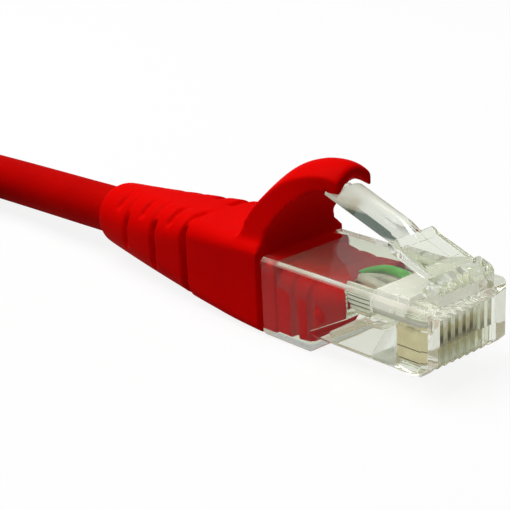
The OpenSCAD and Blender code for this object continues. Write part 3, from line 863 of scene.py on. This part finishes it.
# A darker copy of the red vinyl: painted shade for its place inside the clear housing
shaded_copy_vinyl = moulded("shaded_copy_red_vinyl", colour(0.72, 0.003, 0.002), colour(0.62, 0.002, 0.001),
                       0.36, 0.52, grain_size=0.16, cloud_size=5, bump=0.005,
                       Specular_IOR_Level=0.005)
painted_haze(shaded_copy_vinyl, painted_haze_on_vinyl)
for end in ends:
    piece = fitted(mould, end, f"mould_{end}", shaded_copy_vinyl, 35)
    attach(piece, "cable")
    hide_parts(f"inner_mould_{end}")
bpy.data.objects.remove(mould)


# ---- Wires ----
# Eight insulated wires. They come out of the mould's mouth in loose arches, line up in the
# guide, and stop behind the front wall.

wire_paints = {}
for name, light, dark, slot in (
        ("green", (0.20, 0.85, 0.12), (0.14, 0.70, 0.08), "wire_green"),
        ("orange", (0.85, 0.26, 0.03), (0.70, 0.18, 0.02), "wire_orange"),
        ("blue", (0.05, 0.13, 0.55), (0.03, 0.08, 0.42), "wire_blue"),
        ("brown", (0.26, 0.10, 0.04), (0.18, 0.06, 0.03), "wire_brown"),
        ("white", (0.88, 0.86, 0.79), (0.78, 0.76, 0.69), "wire_white")):
    wire_paints[name] = (moulded(f"wire_{name}", colour(*light), colour(*dark), 0.25, 0.4,
                                 grain_size=0.1, cloud_size=1.5, bump=0.002,
                                 Specular_IOR_Level=0.3), slot)
    painted_haze(wire_paints[name][0], painted_haze_on_wires)
wire_row = ["white", "orange", "white", "blue", "white", "green", "white", "brown"]
# Points of each wire behind its bore: x, then how far it strays from its row in Y and Z
wire_strays = [
    [(-12.4, 0.6, -0.1), (-10.6, 0.35, -0.35), (-9.0, 0.25, -0.2)],
    [(-12.4, 0.9, -0.5), (-10.6, 0.4, -0.5), (-9.0, 0.1, -0.3)],
    [(-12.6, 0.9, 0.1), (-11.6, 0.2, 0.5), (-10.4, -0.1, 0.65), (-8.8, -0.1, 0.5)],
    [(-12.4, 0.9, -0.7), (-10.8, 0.5, -0.7), (-9.2, 0.2, -0.4)],
    [(-12.4, -1.6, 0.3), (-11.0, -1.1, 0.5), (-9.4, -0.3, 0.35)],
    [(-13.0, -2.7, 0.2), (-12.2, -1.4, 0.65), (-11.2, -0.3, 0.8), (-9.8, 0, 0.8), (-8.5, 0, 0.65)],
    [(-12.4, -0.8, -0.2), (-10.8, -0.4, 0.2), (-9.2, -0.1, 0.2)],
    [(-12.4, -1.0, -0.6), (-10.6, -0.5, -0.4), (-9.0, -0.2, -0.2)]]
in_guide = (-7.6, -6.5, -4.0, -1.45)      # then it runs straight through the guide
strand_steps = 6


def strand(points, radius, sides=16):
    """A round strand through points that run along the plug."""
    bm = bmesh.new()
    rings = []
    for k in range((len(points) - 1) * strand_steps + 1):
        x, y, z = between(points, k / strand_steps)
        rings.append([(x, y + radius * math.cos(2 * math.pi * a / sides),
                       z + radius * math.sin(2 * math.pi * a / sides)) for a in range(sides)])
    skin(bm, rings)
    return made(bm, "strand")


for i in range(1, 9):
    y = way_y(i)
    route = [(x, y + dy, wire_z + dz) for x, dy, dz in wire_strays[i - 1]]
    route += [(x, y, wire_z) for x in in_guide]
    wire = strand(route, wire_d / 2)
    paint, slot = wire_paints[wire_row[i - 1]]
    for end in ends:
        piece = fitted(wire, end, f"wire_piece_{end}_{i}", paint, 60)
        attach(piece, "cable")
        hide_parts(f"wire_{end}_{i}")
    bpy.data.objects.remove(wire)


# ---- Contacts ----
# Stamped bronze blades with gold plating, pressed into the slots. Two teeth on top of each
# bite through the insulation of its wire.

# The plating has a painted glow, standing in for light scattered inside the plug; the painted shade
# marks don't glow
gold = moulded("gold_plating", colour(0.90, 0.81, 0.56), colour(0.74, 0.63, 0.40), 0.3, 0.5,
               grain_size=0.3, cloud_size=1.2, bump=0.002, Metallic=0.35, Emission_Strength=0.16)
# Painted shade: two dark fold lines run along the sides of each blade
fold_heights, fold_half = (1.85, 0.72), 0.045
tree = gold.node_tree
at = axes(tree)
painted_fold_shade = [math_node(tree, "COMPARE", at["Z"], (ends["a"][2] + z) * MM, fold_half * MM)
         for z in fold_heights]
# and a painted shadow darkens the nose of each under its rounded front, apart from the first blade's
# outer side
nose_x, nose_z, nose_half_x, nose_half_z = -1.9, 2.15, 0.3, 0.4
inner_y, inner_half = 0.2, 3.8
noses = [math_node(tree, "COMPARE", at["X"], (ends[end][0] + nose_x) * MM, nose_half_x * MM)
         for end in ends]
inner = [math_node(tree, "COMPARE", at["Y"], (ends[end][1] + inner_y) * MM, inner_half * MM)
         for end in ends]
nose = math_node(tree, "MULTIPLY", math_node(tree, "MAXIMUM", *noses),
                 math_node(tree, "MAXIMUM", *inner))
nose = math_node(tree, "MULTIPLY", nose, math_node(
    tree, "COMPARE", at["Z"], (ends["a"][2] + nose_z) * MM, nose_half_z * MM))
dark = math_node(tree, "MAXIMUM", nose, math_node(tree, "MAXIMUM", *painted_fold_shade))
marked(gold, dark, colour(0.08, 0.03, 0.015), glow=colour(1.0, 0.88, 0.62))
for end in ends:
    for i in range(1, 9):
        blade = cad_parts[f"contact_{end}_{i}"]
        for coat in blade.material_slots:
            coat.material = gold


# ---- Tie ----
# A woven nylon hook-and-loop strap. It is wrapped around the turns, on the side away from the
# plugs, and holds them together.

strap_paint = moulded("black_strap", colour(0.035, 0.035, 0.04), colour(0.02, 0.02, 0.024), 0.6, 0.85,
                      grain_size=0.3, cloud_size=3, bump=0.05)
# A pile of small loops stands on the strap
loop_size, pile_depth = 0.6, 0.25
tree = strap_paint.node_tree
shader = tree.nodes["Principled BSDF"]
loops = node(tree, "ShaderNodeTexVoronoi", {
    "Vector": node(tree, "ShaderNodeTexCoord").outputs["Object"], "Scale": 1 / (loop_size * MM)},
    feature="SMOOTH_F1").outputs["Distance"]
pile = node(tree, "ShaderNodeBump", {
    "Height": loops, "Distance": pile_depth * MM, "Strength": 1.0,
    "Normal": shader.inputs["Normal"].links[0].from_socket}, invert=True).outputs["Normal"]
tree.links.new(pile, shader.inputs["Normal"])
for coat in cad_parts["coil_tie"].material_slots:
    coat.material = strap_paint

far_pieces = [f"{name}_b" for name in
              ("boot_and_hood", "housing_and_latch", "guide", "comb", "mould")]
far_pieces += [f"wire_piece_b_{i}" for i in range(1, 9)] + [f"contact_b_{i}" for i in range(1, 9)]
